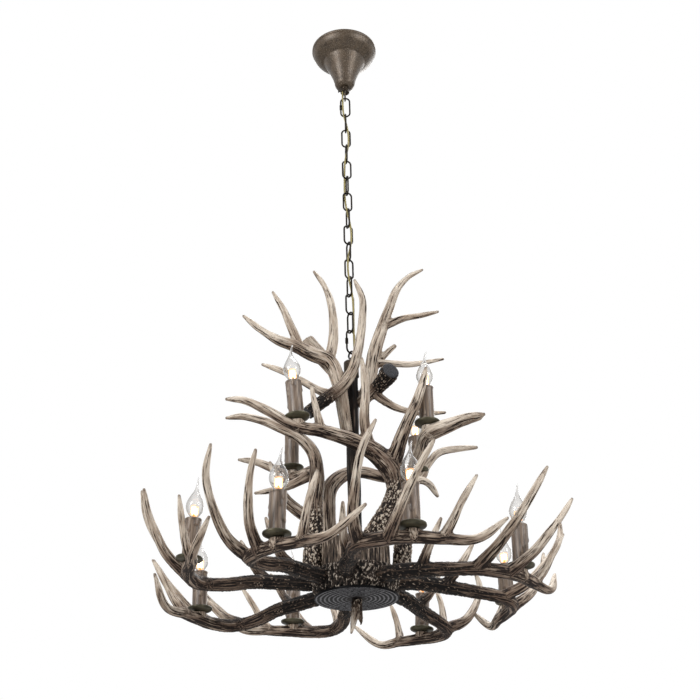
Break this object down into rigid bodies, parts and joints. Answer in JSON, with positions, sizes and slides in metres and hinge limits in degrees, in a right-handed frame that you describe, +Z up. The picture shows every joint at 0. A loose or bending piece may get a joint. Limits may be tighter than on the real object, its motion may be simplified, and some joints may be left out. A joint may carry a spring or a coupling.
{
  "type": "antler chandelier",
  "caption": "Chain-hung chandelier of cast antlers round a bark stem, with candle sleeves, flame bulbs and a bell-shaped ceiling canopy.",
  "frame": {"origin": "ceiling plane at the centre of the canopy and its bracket", "axes": "+Z up to the ceiling, +Y away from the viewer of the picture, +X to the viewer's right; the light hangs along -Z"},
  "size_m": [0.847, 0.8459, 1.4451],
  "materials": {
    "bronze_paint": "speckled brown bronze paint, satin",
    "zinc_steel": "plated steel",
    "chain_bronze": "dark bronze paint, satin",
    "flex_cover": "clear gold sleeve over twisted wire",
    "bark_resin": "cast resin bark, stained nearly black",
    "fluted_resin": "cast resin, pale with dark washed grooves",
    "sawn_resin": "cast resin disc with sawn growth rings",
    "antler_resin": "cast resin antler, cream with brown washed grooves",
    "cup_bronze": "dark olive bronze paint",
    "sleeve_wax": "moulded drip candle sleeve, brown wash",
    "bulb_glass": "clear blown glass"
  },
  "bodies": {
    "canopy": {"bracket": "zinc_steel", "canopy": "bronze_paint", "nipple": "zinc_steel", "hanging_loop": "bronze_paint", "set_screw": "zinc_steel"},
    "top_link": {"gate_link_top": "chain_bronze", "gate_nut_top": "chain_bronze"},
    "chain": {"chain_links": "chain_bronze", "flex": "flex_cover"},
    "low_link": {"gate_link_low": "chain_bronze", "gate_nut_low": "chain_bronze"},
    "fixture": {"stem_eye": "chain_bronze", "stem_cap": "chain_bronze", "stem": "bark_resin", "drum": "fluted_resin", "hub": "bark_resin", "hub_disc": "sawn_resin", "finial": "antler_resin", "lower_antler_1": "antler_resin", "lower_antler_2": "antler_resin", "lower_antler_3": "antler_resin", "lower_antler_4": "antler_resin", "lower_antler_5": "antler_resin", "lower_antler_6": "antler_resin", "lower_antler_7": "antler_resin", "lower_antler_8": "antler_resin", "mid_antler_back": "antler_resin", "mid_antler_front": "antler_resin", "mid_antler_left": "antler_resin", "mid_antler_right": "antler_resin", "top_antler_front": "antler_resin", "top_antler_left": "antler_resin", "top_antler_right": "antler_resin", "top_antler_stub": "antler_resin", "cups_lower": "cup_bronze", "cups_upper": "cup_bronze", "sleeves_lower": "sleeve_wax", "sleeves_upper": "sleeve_wax"},
    "bulb_01": {"bulb_01": "bulb_glass"},
    "bulb_02": {"bulb_02": "bulb_glass"},
    "bulb_03": {"bulb_03": "bulb_glass"},
    "bulb_04": {"bulb_04": "bulb_glass"},
    "bulb_05": {"bulb_05": "bulb_glass"},
    "bulb_06": {"bulb_06": "bulb_glass"},
    "bulb_07": {"bulb_07": "bulb_glass"},
    "bulb_08": {"bulb_08": "bulb_glass"},
    "bulb_09": {"bulb_09": "bulb_glass"},
    "bulb_10": {"bulb_10": "bulb_glass"},
    "bulb_11": {"bulb_11": "bulb_glass"},
    "bulb_12": {"bulb_12": "bulb_glass"}
  },
  "joints": [
    {"name": "loop_swing", "type": "hinge", "parent": "canopy", "child": "top_link", "pos_m": [0, 0, -0.154], "axis": [0, 1, 0], "range_deg": [-10, 10], "deforming": ["flex"]},
    {"name": "chain_swing", "type": "hinge", "parent": "top_link", "child": "chain", "pos_m": [0, 0, -0.2046], "axis": [1, 0, 0], "range_deg": [-10, 10], "deforming": ["flex"]},
    {"name": "low_link_swing", "type": "hinge", "parent": "chain", "child": "low_link", "pos_m": [0, 0, -0.79166], "axis": [-0.6129, 0.7902, 0], "range_deg": [-10, 10], "deforming": ["flex"]},
    {"name": "eye_swing", "type": "hinge", "parent": "low_link", "child": "fixture", "pos_m": [0, 0, -0.84256], "axis": [0.7902, 0.6129, 0], "range_deg": [-10, 10], "deforming": ["flex"]},
    {"name": "bulb_01_screw", "type": "hinge", "parent": "fixture", "child": "bulb_01", "pos_m": [-0.13189, -0.30548, -1.27042], "axis": [0.0254, -0.0073, 0.9997], "continuous": true},
    {"name": "bulb_02_screw", "type": "hinge", "parent": "fixture", "child": "bulb_02", "pos_m": [0.09788, -0.3167, -1.26519], "axis": [0.0061, 0.0219, 0.9997], "continuous": true},
    {"name": "bulb_03_screw", "type": "hinge", "parent": "fixture", "child": "bulb_03", "pos_m": [0.3033, -0.14382, -1.28441], "axis": [0.0281, -0.0305, 0.9991], "continuous": true},
    {"name": "bulb_04_screw", "type": "hinge", "parent": "fixture", "child": "bulb_04", "pos_m": [0.3063, 0.13198, -1.27389], "axis": [0.003, 0.0108, 0.9999], "continuous": true},
    {"name": "bulb_05_screw", "type": "hinge", "parent": "fixture", "child": "bulb_05", "pos_m": [0.14414, 0.30268, -1.28217], "axis": [0.067, 0.0037, 0.9977], "continuous": true},
    {"name": "bulb_06_screw", "type": "hinge", "parent": "fixture", "child": "bulb_06", "pos_m": [-0.13856, 0.29949, -1.25941], "axis": [0.0138, -0.034, 0.9993], "continuous": true},
    {"name": "bulb_07_screw", "type": "hinge", "parent": "fixture", "child": "bulb_07", "pos_m": [-0.31805, 0.10628, -1.28264], "axis": [-0.0293, 0.0171, 0.9994], "continuous": true},
    {"name": "bulb_08_screw", "type": "hinge", "parent": "fixture", "child": "bulb_08", "pos_m": [-0.30266, -0.12664, -1.25255], "axis": [0.0625, -0.0007, 0.998], "continuous": true},
    {"name": "bulb_09_screw", "type": "hinge", "parent": "fixture", "child": "bulb_09", "pos_m": [-0.11496, -0.15, -0.98094], "axis": [-0.0958, 0, 0.9954], "continuous": true},
    {"name": "bulb_10_screw", "type": "hinge", "parent": "fixture", "child": "bulb_10", "pos_m": [0.147, -0.108, -0.98056], "axis": [0, 0, 1], "continuous": true},
    {"name": "bulb_11_screw", "type": "hinge", "parent": "fixture", "child": "bulb_11", "pos_m": [0.137, 0.149, -0.97656], "axis": [0, 0, 1], "continuous": true},
    {"name": "bulb_12_screw", "type": "hinge", "parent": "fixture", "child": "bulb_12", "pos_m": [-0.131, 0.105, -0.98256], "axis": [0, 0, 1], "continuous": true}
  ]
}
